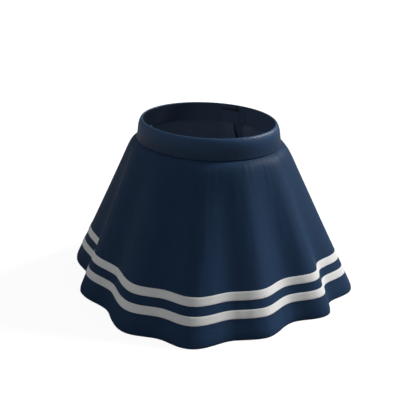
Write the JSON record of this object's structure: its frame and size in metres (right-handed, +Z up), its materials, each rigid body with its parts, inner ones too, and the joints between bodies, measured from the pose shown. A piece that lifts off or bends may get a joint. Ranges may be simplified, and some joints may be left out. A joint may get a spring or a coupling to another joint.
{
  "type": "cheer skirt",
  "caption": "Flared circular cheer skirt with a fitted waistband, soft flutes, two rows of contrast braid above the hem, a half lining and a centre back zip.",
  "frame": {"origin": "middle of the hem's box, on the plane that the hem stands on", "axes": "+Z up to the waist, the wearer faces -Y, +X is the wearer's left, and the zip is at +Y"},
  "size_m": [0.476, 0.4528, 0.276],
  "materials": {
    "panel_knit": "matte navy double-knit polyester",
    "waistband_knit": "matte navy double-knit polyester, folded over and topstitched",
    "braid_white": "flat ribbed white braid",
    "hem_binding": "dark navy woven facing",
    "lining_tricot": "thin slate-navy tricot",
    "elastic_white": "woven elastic",
    "zip_tape": "woven herringbone tape",
    "zip_teeth": "moulded navy nylon",
    "zip_metal": "satin navy enamel",
    "nickel": "bright nickel plate",
    "ribbon": "satin ribbon",
    "label_satin": "plain white woven satin"
  },
  "bodies": {
    "skirt": {"front_panel": "panel_knit", "back_panel_left": "panel_knit", "back_panel_right": "panel_knit", "waistband": "waistband_knit", "waistband_elastic": "elastic_white", "waistband_underlap": "hem_binding", "upper_stripe_front": "braid_white", "upper_stripe_back_left": "braid_white", "upper_stripe_back_right": "braid_white", "lower_stripe_front": "braid_white", "lower_stripe_back_left": "braid_white", "lower_stripe_back_right": "braid_white", "hem_facing_front": "hem_binding", "hem_facing_back_left": "hem_binding", "hem_facing_back_right": "hem_binding", "lining_front": "lining_tricot", "lining_back_left": "lining_tricot", "lining_back_right": "lining_tricot", "zip_tape_left": "zip_tape", "zip_tape_right": "zip_tape", "zip_teeth_left": "zip_teeth", "zip_teeth_right": "zip_teeth", "zip_top_stops": "zip_teeth", "zip_bottom_stop": "zip_teeth", "zip_guard": "hem_binding", "waist_hook": "nickel", "waist_bar": "nickel"},
    "slider": {"zip_slider": "zip_metal"},
    "pull": {"zip_pull": "zip_metal"},
    "loop_left": {"hanger_loop_left": "ribbon"},
    "loop_right": {"hanger_loop_right": "ribbon"},
    "labels": {"care_label": "label_satin", "size_label": "label_satin"}
  },
  "joints": [
    {"name": "zip_slide", "type": "slide", "parent": "skirt", "child": "slider", "axis": [0, 0.4533, -0.8913], "range_m": [0, 0.1181]},
    {"name": "pull_swing", "type": "hinge", "parent": "slider", "child": "pull", "pos_m": [0.00243, 0.1102, 0.23789], "axis": [1, 0, 0], "range_deg": [0, 150]},
    {"name": "hanger_loop_left_swing", "type": "hinge", "parent": "skirt", "child": "loop_left", "pos_m": [0.11548, 0.00536, 0.247], "axis": [0, 1, 0], "range_deg": [0, 150]},
    {"name": "hanger_loop_right_swing", "type": "hinge", "parent": "skirt", "child": "loop_right", "pos_m": [-0.11062, 0.00536, 0.247], "axis": [0, -1, 0], "range_deg": [0, 150]},
    {"name": "label_swing", "type": "hinge", "parent": "skirt", "child": "labels", "pos_m": [0.10817, 0.03695, 0.247], "axis": [-0.4003, 0.9164, 0], "range_deg": [0, 110]}
  ]
}
